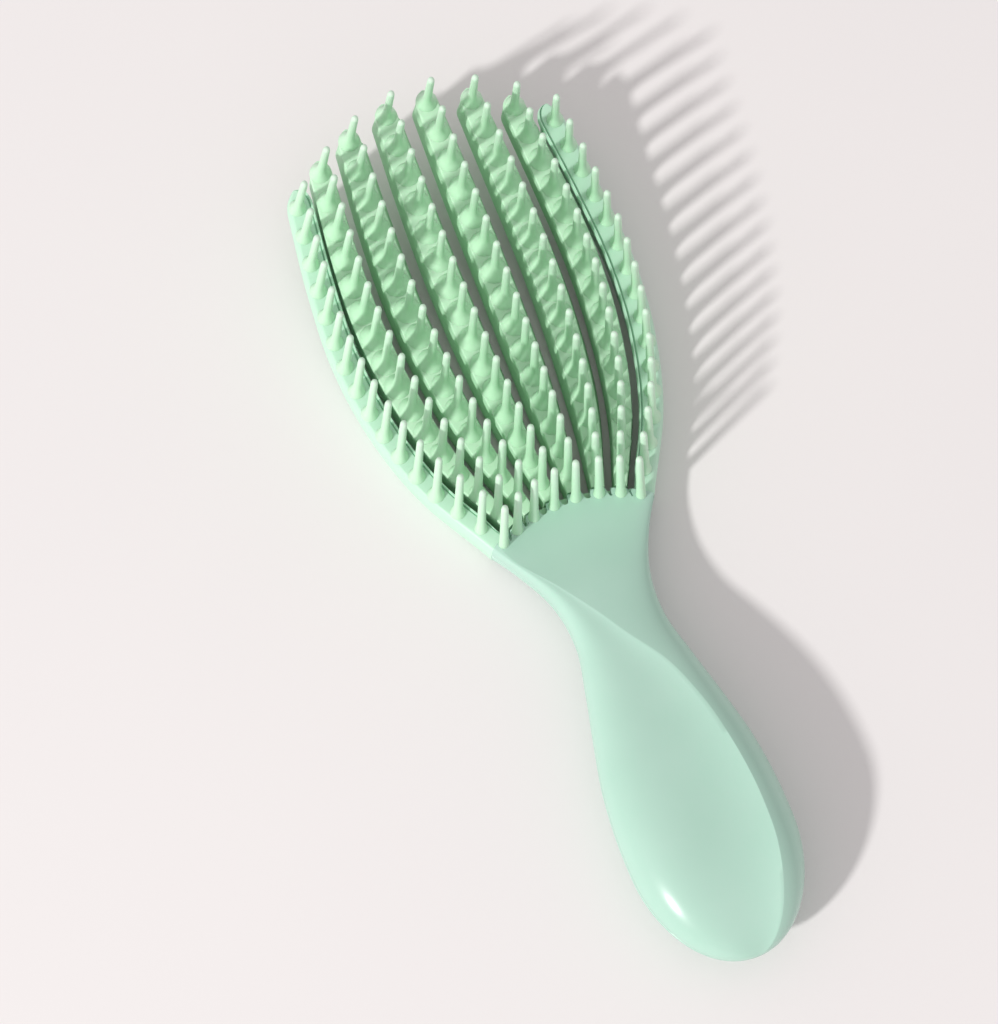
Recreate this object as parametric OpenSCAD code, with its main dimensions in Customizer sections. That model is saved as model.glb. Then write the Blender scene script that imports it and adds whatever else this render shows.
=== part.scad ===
// Vented detangling brush: a dished head of six springy ribs between two edge rails,
// with moulded pins in eight rows, and a hollow handle made of two shells.
// X runs across the brush, +Y towards the tip of the head and +Z out of the pin side.

/* [Head] */
// Radius of the dished pin face, seen from the side
face_radius = 320; // [240:10:420]
// Downward slope of the pin face where it leaves the throat, in degrees
root_dip = 3.6; // [2:0.2:6]
// Length of the middle rows along the face, root pin to tip pin
row_length = 106; // [90:1:120]
// How far the root pins of the edge rows sit back from the middle ones
root_bow = 4.9; // [3:0.1:7]
// How far the tip pins of the edge rows sit back from the middle ones
tip_bow = 14.8; // [10:0.2:20]
// Sideways distance of the inner rows from the middle, at the widest place
inner_row_x = 5.75; // [5.4:0.05:6.2]
// Sideways distance of the second rows
second_row_x = 17.3; // [16.8:0.1:17.6]
// Sideways distance of the third rows
third_row_x = 27.4; // [26.8:0.1:27.8]
// Sideways distance of the edge rows
edge_row_x = 36.3; // [35.8:0.1:38]

/* [Pins] */
// Pins in each row
pins_per_row = 16; // [10:1:16]
// Height of a pin above the face that it stands on
pin_height = 20.6; // [14:0.2:24]
// Radius of a pin above its flared foot
pin_radius = 1.05; // [0.8:0.05:1.2]
// Radius of a pin just below its rounded tip
pin_tip_radius = 0.85; // [0.6:0.05:1]
// Height of the flared foot
flare_height = 5; // [4:0.5:9]
// Inward lean of the pins of the edge rows, in degrees
edge_lean = 5.3; // [0:0.1:8]

/* [Ribs] */
// Width of a rib at the widest place
rib_width = 7.6; // [6.6:0.1:7.8]
// Depth of a rib, pin strip and spine together
rib_depth = 7; // [6:0.1:7.5]
// Thickness of the pin strip on a rib
strip_thickness = 1.5; // [1.2:0.1:2]
// Length that a rib runs on past its last pin
rib_overhang = 3; // [2:0.1:4]
// Radius of the bead that a rib turns on
bead_radius = 1.4; // [1.2:0.05:1.5]
// Thickness of the neck between bead and rib
neck_thickness = 1.2; // [0.9:0.1:1.3]

/* [Rails] */
// Depth of the edge rails
rail_depth = 8.5; // [8.3:0.1:9.5]
// Rail outside its pin row
rail_outer = 2.7; // [2.4:0.1:3.4]
// Rail inside its pin row, at the widest place
rail_inner = 3.4; // [2.8:0.1:3.6]
// Length that a rail runs on past its last pin
rail_overhang = 4.4; // [3:0.1:5]
// Length of the tenon that fixes a rail in the handle
tenon_length = 8; // [6:0.5:9]
// Thickness of the tenon
tenon_thickness = 1.8; // [1.2:0.1:2]

/* [Handle] */
// Length of the handle from the middle root pins to its end
handle_length = 114; // [100:1:130]
// Length of the throat, from the root pins to the slimmest place
throat_length = 34; // [30:1:40]
// Width of the handle at its widest
handle_width = 38.5; // [34:0.5:42]
// Thickness of the handle at its thickest
handle_thickness = 22; // [19:0.5:25]
// Length of the rounded end
end_length = 26; // [20:1:32]
// Depth of the thumb dish beside the crease
dish_depth = 1; // [0.6:0.1:2]
// Wall of both shells
shell_wall = 1.8; // [1.5:0.1:1.9]
// Radius of the pegs that join the shells
peg_radius = 1.5; // [1.2:0.1:1.8]

/* [Hidden] */
$fn = 48;

// Colours of the moulded pieces
shell_colour = "#9fe2c4";
rib_colour = "#86d2ae";
strip_colour = "#9adbb9";

// Radial clearance of a bead in its socket
bead_clearance = 0.08;
// Gap between a rib and the throat that it swings past
swing_gap = 0.6;
// Room that a neck keeps to the lips of its socket
neck_room = 0.3;
// Play between pieces that are fixed to each other
fit_play = 0.1;
// Overrun of every cut
over = 1;
// The flats that the brush rests on are cut this deep
rest_cut = 0.25;
// The throat ends this far ahead of its pins
border_ahead = 1.5;
// Beads lie this far behind the root pins
axis_behind = 1.6;

// Rows from the middle outwards; the last of them stands on the rail
row_xs = [inner_row_x, second_row_x, third_row_x, edge_row_x];
edge = len(row_xs) - 1;
// Sideways spread of every row at even steps from root to tip
spread_shares = [0.473, 0.773, 0.936, 1, 0.977, 0.915];
// Width of a rib, and of a rail inside its pins, at the same steps
rib_shares = [0.475, 0.8, 0.96, 1, 0.95, 0.8];
rail_shares = [0.475, 0.78, 0.9, 1, 1, 0.9];
// Pins stand a little closer together at the root than at the tip
crowding_share = 0.11;
root_reach = edge_row_x * spread_shares[0];
tip_reach = edge_row_x * spread_shares[len(spread_shares) - 1];

// Smooth curve through a table of shares, at a place counted in table steps
function curve_at(shares, at) =
    let(n = len(shares) - 1,
        k = min(max(floor(at), 0), n - 1),
        f = at - k,
        b = shares[k],
        c = shares[k + 1],
        a = k > 0 ? shares[k - 1] : 2 * b - c,
        d = k < n - 1 ? shares[k + 2] : 2 * c - b)
    (2 * b + (c - a) * f + (2 * a - 5 * b + 4 * c - d) * f * f
     + (3 * b - a - 3 * c + d) * f * f * f) / 2;

// The dished face: its centre, its slope at a length u along it, and the point there, as [y, z]
face_centre = [face_radius * sin(root_dip), face_radius + rail_depth - rest_cut];
function face_slope(u) = u / face_radius * 180 / PI - root_dip;
function face_point(u, depth = 0) =
    face_centre + (face_radius + depth) * [sin(face_slope(u)), -cos(face_slope(u))];
root_top = face_point(0)[1];

// Pin rows: length along the face of the root and tip pins, and sideways place at a share t
function root_u(x) = -root_bow * pow(x / root_reach, 2);
function tip_u(row) =
    row_length - tip_bow * pow(row_xs[row] * spread_shares[len(spread_shares) - 1] / tip_reach, 2);
function first_u(row) = root_u(row_xs[row] * spread_shares[0]);
function row_u(row, t) = first_u(row) + (tip_u(row) - first_u(row)) * t;
function u_share(row, u) = (u - first_u(row)) / (tip_u(row) - first_u(row));
function row_curve(shares, t) = curve_at(shares, t * (len(shares) - 1));
function spread(t) = row_curve(spread_shares, t);
function row_x(row, t) = row_xs[row] * spread(t);
function pin_share(i) = let(t = i / (pins_per_row - 1)) t - crowding_share * t * (1 - t);
pin_pitch = row_length / (pins_per_row - 1);

// Narrowing of a rib or rail to its rounded end
rib_end_round = 3;
rail_end_round = 4.4;
function rounding(u, end_u, round_length) =
    let(past = (u - end_u + round_length) / round_length)
    past <= 0 ? 1 : sqrt(max(1 - past * past, 0));
function rib_end_u(row) = tip_u(row) + rib_overhang;
function rib_half(row, u) =
    rib_width / 2 * row_curve(rib_shares, u_share(row, u)) * rounding(u, rib_end_u(row), rib_end_round);
rail_end_u = tip_u(edge) + rail_overhang;
slope_step = 0.5;
function rail_slope(u) =
    (row_x(edge, u_share(edge, u + slope_step)) - row_x(edge, u_share(edge, u - slope_step)))
    / (2 * slope_step);
function outer_half(u) =
    rail_outer * sqrt(1 + pow(rail_slope(u), 2)) * rounding(u, rail_end_u, rail_end_round);
function inner_half(u) =
    rail_inner * row_curve(rail_shares, u_share(edge, u)) * rounding(u, rail_end_u, rail_end_round);

// Plan outline of a strip along a row; the steps crowd together at its rounded end
outline_steps = 30;
function outline(row, from_u, to_u, inside, outside) =
    let(us = [for (k = [0 : outline_steps]) from_u + (to_u - from_u) * sin(90 * k / outline_steps)],
        last = outline_steps)
    concat([for (k = [0 : last]) [row_x(row, u_share(row, us[k])) + outside(us[k]), face_point(us[k])[0]]],
           [for (k = [last - 1 : -1 : 0])
                [row_x(row, u_share(row, us[k])) - inside(us[k]), face_point(us[k])[0]]]);

// The whole brush is centred on its box
head_end_y = face_point(rib_end_u(0))[0];
box_middle_y = (head_end_y - handle_length) / 2;
module placed() {
    translate([0, -box_middle_y, 0]) children();
}
module sided(side) {
    placed() mirror([side < 0 ? 1 : 0, 0, 0]) children();
}

// Everything between two depths below the pin face
head_span = 2 * (edge_row_x + rail_outer + over);
module face_layer(top, bottom) {
    translate([0, face_centre[0], face_centre[1]])
        rotate([0, 90, 0])
            difference() {
                cylinder(r = face_radius + bottom, h = head_span, center = true, $fn = 720);
                cylinder(r = face_radius + top, h = head_span + 2 * over, center = true, $fn = 720);
            }
}

// A plan outline carried straight up through the head
head_top = face_point(row_length + rib_overhang)[1] + over;
module upright(points) {
    translate([0, 0, -over]) linear_extrude(height = head_top + over) polygon(points);
}

// Everything behind the bowed end of the throat, or behind a line ahead of it
border_steps = 24;
function border_y(x, ahead = 0) = face_point(root_u(x) + border_ahead + ahead)[0];
module behind_border(ahead) {
    reach = root_reach + rail_outer + 2 * over;
    upright(concat(
        [for (k = [0 : border_steps])
            let(x = reach * (1 - 2 * k / border_steps)) [x, border_y(x, ahead)]],
        [[-reach, -throat_length], [reach, -throat_length]]));
}

// One pin with its flared foot, standing at the origin
sink = 0.4;
tip_steps = 4;
module pin(foot_radius) {
    dome_z = pin_height - pin_tip_radius;
    rotate_extrude($fn = 24)
        polygon(concat(
            [[0, -sink], [foot_radius, -sink], [foot_radius, 0], [pin_radius, flare_height]],
            [for (k = [0 : tip_steps])
                let(a = 90 * k / tip_steps)
                [k < tip_steps ? pin_tip_radius * cos(a) : 0, dome_z + pin_tip_radius * sin(a)]]));
}

// Pins of one row from one number to another, counted from the root
foot_margin = 0.5;
foot_pitch_share = 0.42;
module pin_row(row, first, last) {
    for (i = [first : last]) {
        u = row_u(row, pin_share(i));
        x = row_x(row, pin_share(i));
        half = row == edge ? inner_half(min(u, tip_u(row))) : rib_half(row, u);
        foot = min(half - foot_margin, pin_pitch * foot_pitch_share);
        translate([x, face_point(u)[0], face_point(u)[1]])
            rotate([face_slope(u), -edge_lean * x / edge_row_x, 0])
                pin(max(foot, pin_radius + fit_play));
    }
}

// Each rib turns on a bead, on a line across the brush below the root pin of its row
axis_depth = rail_depth / 2;
function axis_point(row) = face_point(first_u(row) - axis_behind, axis_depth);
function root_x(row) = row_x(row, 0);
function root_half(row) = rib_half(row, first_u(row)) - fit_play;
module at_axis(row) {
    translate([root_x(row), axis_point(row)[0], axis_point(row)[1]])
        rotate([face_slope(0), 0, 0]) children();
}
module across(r, half) {
    rotate([0, 90, 0]) cylinder(r = r, h = 2 * half, center = true);
}

// Spine of one rib: the springy bar under a pin strip, with a bead at its root
tongue_half = 1;
tongue_depth = 1;
tongue_inset = 3;
neck_inset = 0.5;
module tongue(row, top) {
    intersection() {
        upright(outline(row, first_u(row) + border_ahead + tongue_inset, tip_u(row) - tongue_inset,
                        function(u) tongue_half, function(u) tongue_half));
        face_layer(top, strip_thickness + tongue_depth);
    }
}
module rib_spine(row, side) {
    neck_reach = axis_behind + border_ahead + swing_gap + root_half(row);
    neck_half = root_half(row) - neck_inset;
    color(rib_colour)
        sided(side) {
            difference() {
                intersection() {
                    upright(outline(row, first_u(row), rib_end_u(row),
                                    function(u) rib_half(row, u), function(u) rib_half(row, u)));
                    face_layer(strip_thickness, rib_depth);
                }
                behind_border(swing_gap);
                tongue(row, strip_thickness - over);
            }
            at_axis(row) {
                across(bead_radius, root_half(row));
                translate([-neck_half, 0, -neck_thickness / 2])
                    cube([2 * neck_half, neck_reach, neck_thickness]);
            }
        }
}

// Strip of pins on one rib, with a tongue that fills the groove in its spine
strip_step = 0.3;
module pin_strip(row, side) {
    color(strip_colour)
        sided(side) {
            difference() {
                intersection() {
                    upright(outline(row, first_u(row), rib_end_u(row) - strip_step,
                                    function(u) max(rib_half(row, u) - strip_step, 0),
                                    function(u) max(rib_half(row, u) - strip_step, 0)));
                    face_layer(0, strip_thickness);
                }
                behind_border(swing_gap);
            }
            tongue(row, strip_thickness / 2);
            pin_row(row, 1, pins_per_row - 1);
        }
}

// Edge rail with the pins of the outermost row, and a tenon that the shells close on
module edge_rail(side) {
    color(shell_colour)
        sided(side) {
            difference() {
                intersection() {
                    upright(outline(edge, first_u(edge) - rail_outer - over, rail_end_u,
                                    function(u) inner_half(u), function(u) outer_half(u)));
                    face_layer(0, rail_depth);
                    translate([-head_span / 2, -handle_length, 0])
                        cube([head_span, handle_length + 2 * row_length, head_top]);
                }
                behind_border(fit_play);
            }
            tenon();
            pin_row(edge, 1, pins_per_row - 1);
        }
}

// Tenon of a rail, held between the flanks of the shells and the ends of the socket bar
tenon_room = 1.2;
tenon_height = 2.6;
tenon_steps = 6;
tenon_start_y = border_y(root_reach) + over;
function tenon_x(y) = half_width(min(y, border_y(root_reach))) - shell_wall - tenon_room;
module tenon() {
    ys = [for (k = [0 : tenon_steps]) tenon_start_y - (tenon_length + over) * k / tenon_steps];
    translate([0, 0, parting_z(tenon_start_y) - tenon_height / 2])
        linear_extrude(height = tenon_height)
            polygon(concat([for (y = ys) [tenon_x(y), y]],
                           [for (k = [tenon_steps : -1 : 0]) [tenon_x(ys[k]) - tenon_thickness, ys[k]]]));
}

// The handle's tables have a step every third of the throat, then seven steps to the end
throat_steps = 3;
grip_steps = 7;
function station(y) =
    -y < throat_length ? -y / throat_length * throat_steps
    : throat_steps + (-y - throat_length) / (handle_length - throat_length) * grip_steps;

// Half width of the handle, which joins the rails at the shoulders
shoulder = root_reach + rail_outer;
shoulder_shares = [1.21, 0.85, 0, 0, 0, 0, 0, 0, 0, 0, 0];
width_shares = [0, 0, 0.627, 0.565, 0.68, 0.82, 0.945, 1, 1, 0.99, 0.99];
function half_width(y) =
    shoulder * curve_at(shoulder_shares, station(y)) + handle_width / 2 * curve_at(width_shares, station(y));

// Heights of its top, underside and parting line
throat_shares = [1, 1, 0.45, 0, 0, 0, 0, 0, 0, 0, 0];
top_shares = [0, 0.075, 0.44, 0.735, 0.83, 0.91, 0.965, 0.99, 1, 0.98, 0.93];
under_shares = [0, 0.03, 0.08, 0.105, 0.09, 0.055, 0.02, 0, 0, 0.02, 0.07];
parting_shares = [0, 0.06, 0.27, 0.44, 0.475, 0.49, 0.5, 0.5, 0.5, 0.49, 0.465];
parting_throat_share = 0.6;
function height_at(shares, base, y) =
    base * curve_at(throat_shares, station(y)) + handle_thickness * curve_at(shares, station(y));
function top_z(y) = height_at(top_shares, root_top, y);
function under_z(y) = height_at(under_shares, root_top - rail_depth, y) - rest_cut;
function parting_z(y) = height_at(parting_shares, root_top * parting_throat_share, y);

// Place of the crease across the handle, and how boxy its section is
crease_shares = [-0.92, -0.93, -0.66, -0.12, 0.42, 0.6, 0.64, 0.66, 0.65, 0.63, 0.62];
fullness_shares = [1, 0.8, 0.55, 0.44, 0.38, 0.35, 0.33, 0.33, 0.33, 0.33, 0.33];
rear_fullness_shares = [0.68, 0.57, 0.44, 0.38, 0.35, 0.33, 0.33, 0.33, 0.33, 0.33, 0.33];
fullest_power = 7;
function fullness(y) = fullest_power * curve_at(fullness_shares, station(y));
function rear_fullness(y) = fullest_power * curve_at(rear_fullness_shares, station(y));

// Height of the band between the crease and the right flank, as a share of the height over the
// parting line. The band starts part of the way round its curve, so that the crease stays crisp.
crease_fall_shares = [0, 0.05, 0.15, 0.3, 0.42, 0.48, 0.5, 0.5, 0.5, 0.5, 0.5];
function band_share(y, w) =
    let(n = fullness(y),
        start = max(curve_at(crease_fall_shares, station(y)), 0),
        t = min(start + (1 - start) * w, 1))
    pow((1 - pow(t, n)) / (1 - pow(start, n)), 1 / n);

// Height of the dish between the crease and the left flank, where it rolls off
roll_power = 2.5;
dish_width_share = 0.06;
dish_peak = 27 / 4;
function dish_run(y) = curve_at(crease_shares, station(y)) + 1;
function dish_share(y, w) =
    let(depth = min(dish_depth, dish_run(y) * half_width(y) * dish_width_share) / (top_z(y) - parting_z(y)))
    sqrt(1 - pow(min(w, 1), roll_power)) - depth * dish_peak * w * pow(1 - w, 2);

// Section of the pin side from the right flank over the crease and the dish to the left flank,
// as shares of half width and of height above the parting line; the steps crowd at the flanks
band_steps = 13;
dish_steps = 11;
function front_section(y) =
    let(c = curve_at(crease_shares, station(y)))
    concat([for (k = [0 : band_steps])
                let(w = cos(90 * k / band_steps)) [c + (1 - c) * w, band_share(y, w)]],
           [for (k = [1 : dish_steps])
                let(w = sin(90 * k / dish_steps)) [c - (1 + c) * w, dish_share(y, w)]]);

// One rounded corner from the flank at [1, 0] to the flat middle at [0, 1]: even angles, then even steps
corner_steps = 4;
function corner(power, flat_steps) =
    let(knee = pow(cos(45), 2 / power))
    concat([for (k = [0 : corner_steps - 1])
                let(a = 45 * k / corner_steps) [pow(cos(a), 2 / power), pow(sin(a), 2 / power)]],
           [for (k = [0 : flat_steps])
                let(x = knee * (1 - k / flat_steps)) [x, pow(1 - pow(x, power), 1 / power)]]);

// Section of the rear side, as shares of half width and of depth below the parting line
rear_steps = 7;
function rear_section(y) =
    let(half = corner(rear_fullness(y), rear_steps), last = len(half) - 1)
    concat([for (p = half) [p[0], -p[1]]],
           [for (k = [last - 1 : -1 : 0]) [-half[k][0], -half[k][1]]]);

// Rings run from the bowed front border to the rounded end
border_middle_y = border_y(0);
end_start_y = end_length - handle_length;
bow_fade = 24;
body_rings = 22;
end_rings = 8;
end_angle = 86;
function ring_count() = body_rings + end_rings;
function ring_base(r, inset) =
    r <= body_rings ? border_middle_y + (end_start_y - border_middle_y) * pow(r / body_rings, 1.15)
    : end_start_y - (end_length - inset) * sin(end_angle * (r - body_rings) / end_rings) / sin(end_angle);
function ring_round(r) = r <= body_rings ? 1 : cos(end_angle * (r - body_rings) / end_rings);
function bowed(base, x) =
    base + root_u(x) * pow(max(1 - (border_middle_y - base) / bow_fade, 0), 2);
function settled(base, b, turns) = turns == 0 ? b : settled(base, half_width(bowed(base, b)), turns - 1);

// One ring of a sheet, drawn in from the outer surface by an inset
function ring(r, rear, inset) =
    let(base = ring_base(r, inset),
        b = settled(base, half_width(base), 6),
        squeeze = ring_round(r),
        section = rear ? rear_section(base) : front_section(base))
    [for (s = section)
        let(x = s[0] * (b - inset) * squeeze,
            y = bowed(base, x),
            low = parting_z(y) - (rear ? fit_play : 0),
            full = rear ? low - under_z(y) : top_z(y) - low,
            z = low + s[1] * (full - inset) * squeeze)
        [x, y, max(z, inset)]];

// A shell lofted through its outer and inner rings
function flat_list(lists) = [for (l = lists) for (p = l) p];
module loft(rear) {
    last = ring_count();
    n = len(rear ? rear_section(0) : front_section(0));
    points = concat(flat_list([for (r = [0 : last]) ring(r, rear, 0)]),
                    flat_list([for (r = [0 : last]) ring(r, rear, shell_wall)]));
    skin = n * (last + 1);
    sheets = [for (r = [0 : last - 1], j = [0 : n - 2])
        let(a = r * n + j, b = a + 1, c = a + n, d = c + 1)
        each [[a, b, d], [a, d, c], [skin + a, skin + d, skin + b], [skin + a, skin + c, skin + d]]];
    flanks = [for (r = [0 : last - 1])
        let(a = r * n, c = a + n, e = a + n - 1, g = e + n)
        each [[a, c, skin + c], [a, skin + c, skin + a], [e, skin + g, g], [e, skin + e, skin + g]]];
    mouth = [for (j = [0 : n - 2]) each [[j, skin + j + 1, j + 1], [j, skin + j, skin + j + 1]]];
    a = last * n;
    end_caps = [for (j = [1 : n - 2])
        each [[a, a + j, a + j + 1], [skin + a, skin + a + j + 1, skin + a + j]]];
    end_lip = [[a, a + n - 1, skin + a + n - 1], [a, skin + a + n - 1, skin + a]];
    turned = concat(sheets, flanks, mouth, end_caps, end_lip);
    polyhedron(points = points, faces = rear ? turned : [for (f = turned) [f[0], f[2], f[1]]]);
}

// Socket bar: lies between the shells at the throat and holds the bead of every rib
bar_lip = 0.7;
bar_room = 0.35;
bar_end_y = -16;
bar_steps = 16;
mouth_angle = 7;
bar_half = root_x(edge - 1) + root_half(edge - 1) + fit_play + bar_lip;
function bar_side(y) = min(bar_half, tenon_x(y) - tenon_thickness - 2 * fit_play);
module bar_plan() {
    front = [for (k = [0 : bar_steps])
        let(x = bar_half * (1 - 2 * k / bar_steps)) [x, border_y(x) - fit_play]];
    side = [for (k = [0 : bar_steps])
        let(y = border_y(bar_half) - fit_play + (bar_end_y - border_y(bar_half)) * k / bar_steps)
        [bar_side(y), y]];
    upright(concat(front, [for (k = [1 : bar_steps]) [-side[k][0], side[k][1]]],
                   [for (k = [bar_steps : -1 : 1]) side[k]]));
}
module socket(row) {
    mouth = neck_thickness / 2 + neck_room;
    reach = axis_behind + border_ahead + 2 * over;
    width = root_half(row) + fit_play;
    at_axis(row) {
        across(bead_radius + bead_clearance, width);
        rotate([90, 0, 90])
            translate([0, 0, -width])
                linear_extrude(height = 2 * width)
                    polygon([[0, mouth], [0, -mouth], [reach, -mouth - reach * tan(mouth_angle)],
                             [reach, mouth + reach * tan(mouth_angle)]]);
    }
}
module root_socket_bar() {
    color(rib_colour)
        placed()
            difference() {
                intersection() {
                    bar_plan();
                    face_layer(shell_wall + bar_room, rail_depth - shell_wall - bar_room);
                }
                for (side = [-1, 1]) {
                    mirror([side < 0 ? 1 : 0, 0, 0])
                        for (row = [0 : edge - 1]) socket(row);
                    translate([side * bar_peg_x, bar_peg_y, 0])
                        cylinder(r = peg_radius + peg_clearance, h = head_top);
                }
            }
}

// Height of the outer surfaces over a place inside the handle
function front_z(x, y) =
    let(c = curve_at(crease_shares, station(y)),
        s = x / half_width(y),
        share = s > c ? band_share(y, (s - c) / (1 - c)) : dish_share(y, (c - s) / dish_run(y)))
    parting_z(y) + (top_z(y) - parting_z(y)) * share;
function rear_z(x, y) =
    parting_z(y) - (parting_z(y) - under_z(y))
    * pow(1 - pow(abs(x) / half_width(y), rear_fullness(y)), 1 / rear_fullness(y));

// Pegs of the rear shell and bosses of the front shell: a pair through the socket bar
// and one after the other along the grip
bar_peg_x = 6;
bar_peg_y = -12.5;
grip_peg_ys = [-48, -84];
peg_clearance = 0.08;
boss_wall = 1.1;
peg_rise = 3;
bar_top_z = face_point(bar_peg_y, shell_wall)[1];
module peg(x, y, top) {
    foot = rear_z(x, y) + shell_wall / 2;
    translate([x, y, foot]) cylinder(r = peg_radius, h = top - foot);
}
module boss(x, y, base, top) {
    crown = front_z(x, y) - shell_wall / 2;
    translate([x, y, base])
        difference() {
            cylinder(r = peg_radius + boss_wall, h = crown - base);
            translate([0, 0, -over])
                cylinder(r = peg_radius + peg_clearance, h = top - base + over);
        }
}
function grip_peg_top(y) = parting_z(y) + peg_rise;

// Front shell: pin side of the handle, with the throat and the root pin of every row
module front_shell() {
    color(shell_colour)
        placed() {
            loft(false);
            for (side = [-1, 1]) {
                mirror([side < 0 ? 1 : 0, 0, 0])
                    for (row = [0 : edge]) pin_row(row, 0, 0);
                boss(side * bar_peg_x, bar_peg_y, bar_top_z, bar_top_z + fit_play);
            }
            for (y = grip_peg_ys) boss(0, y, parting_z(y) + fit_play, grip_peg_top(y) + bar_room);
        }
}

// Rear shell: back of the handle, with the pegs
module rear_shell() {
    color(shell_colour)
        placed() {
            loft(true);
            for (side = [-1, 1]) peg(side * bar_peg_x, bar_peg_y, bar_top_z - fit_play);
            for (y = grip_peg_ys) peg(0, y, grip_peg_top(y));
        }
}

front_shell();
rear_shell();
root_socket_bar();
edge_rail(-1);  // left_edge_rail
edge_rail(1);  // right_edge_rail
rib_spine(2, -1);  // rib_spine_1
rib_spine(1, -1);  // rib_spine_2
rib_spine(0, -1);  // rib_spine_3
rib_spine(0, 1);  // rib_spine_4
rib_spine(1, 1);  // rib_spine_5
rib_spine(2, 1);  // rib_spine_6
pin_strip(2, -1);  // pin_strip_1
pin_strip(1, -1);  // pin_strip_2
pin_strip(0, -1);  // pin_strip_3
pin_strip(0, 1);  // pin_strip_4
pin_strip(1, 1);  // pin_strip_5
pin_strip(2, 1);  // pin_strip_6
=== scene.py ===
"""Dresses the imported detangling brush: handle shells, edge rails, ribs, pins, floor, lights and camera."""
import logging
import math
from collections.abc import Callable, Sequence
from dataclasses import dataclass, field
from enum import Enum

import bmesh
import bpy
from mathutils import Matrix, Vector


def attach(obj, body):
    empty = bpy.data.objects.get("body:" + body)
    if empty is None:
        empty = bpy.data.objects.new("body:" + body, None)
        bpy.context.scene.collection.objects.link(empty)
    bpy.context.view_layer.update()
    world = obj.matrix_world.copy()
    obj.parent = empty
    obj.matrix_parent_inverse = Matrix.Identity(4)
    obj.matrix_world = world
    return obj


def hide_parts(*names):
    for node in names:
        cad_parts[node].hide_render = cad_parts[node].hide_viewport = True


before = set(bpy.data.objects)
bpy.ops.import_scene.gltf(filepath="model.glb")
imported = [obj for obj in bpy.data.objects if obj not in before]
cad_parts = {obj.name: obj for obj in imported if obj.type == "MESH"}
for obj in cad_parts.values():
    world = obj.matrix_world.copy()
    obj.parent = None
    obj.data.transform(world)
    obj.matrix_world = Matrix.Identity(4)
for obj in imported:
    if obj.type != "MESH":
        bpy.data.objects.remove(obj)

LOG = logging.getLogger("brush")
MM = 0.001
# Least width that is divided by, in millimetres
TINY = 1e-6
# Points of a lofted piece and of a pin that lie closer together than this become one
MERGE_GAP = 0.004 * MM
PIN_MERGE_GAP = 0.005 * MM
# Edges shorter than this are dissolved
SLIVER = 0.001 * MM
# Edges that fold more than this are shaded sharp
SHARP_DEGREES = 42.0
# Least radius of a pin's foot, in millimetres
LEAST_FOOT = 1.15
# How rings crowd over the rounding at the start of a piece, and their steps over the rounding at its end
NEAR_SHARES = (0, 0.06, 0.18, 0.36, 0.62)
FAR_STEPS = 9
# Distances across a piece with heights or depths
Section = list[tuple[float, float]]
Ring = list[Vector]
# Points and faces
Form = tuple[list[Vector], list[list[int]]]
# Place, turn and foot radius
Pin = tuple[Vector, Vector, float]


class Side(Enum):
    """Side of the brush, seen from the pins with the head up."""

    LEFT = -1
    RIGHT = 1


class Shell(Enum):
    """The two halves of the handle, named by their CAD nodes."""

    FRONT = "front_shell"
    REAR = "rear_shell"


def curve_at(shares: Sequence[float], at: float) -> float:
    """Smooth curve through a table of shares.

    Args:
        shares: values at even steps.
        at: place, counted in steps.

    Returns:
        The value of the curve there.
    """
    last = len(shares) - 1
    k = min(max(math.floor(at), 0), last - 1)
    f = at - k
    b, c = shares[k], shares[k + 1]
    a = shares[k - 1] if k > 0 else 2 * b - c
    d = shares[k + 2] if k < last - 1 else 2 * c - b
    return (2 * b + (c - a) * f + (2 * a - 5 * b + 4 * c - d) * f * f
            + (3 * b - a - 3 * c + d) * f ** 3) / 2


def quarter(steps: int) -> list[float]:
    """Even angles over a quarter turn."""
    return [math.pi / 2 * k / steps for k in range(steps + 1)]


def faded(distance: float, reach: float) -> float:
    """Share that is left at a distance; it falls smoothly to nothing at the reach."""
    return max(1 - distance / reach, 0) ** 2


# Plan of the head


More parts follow.
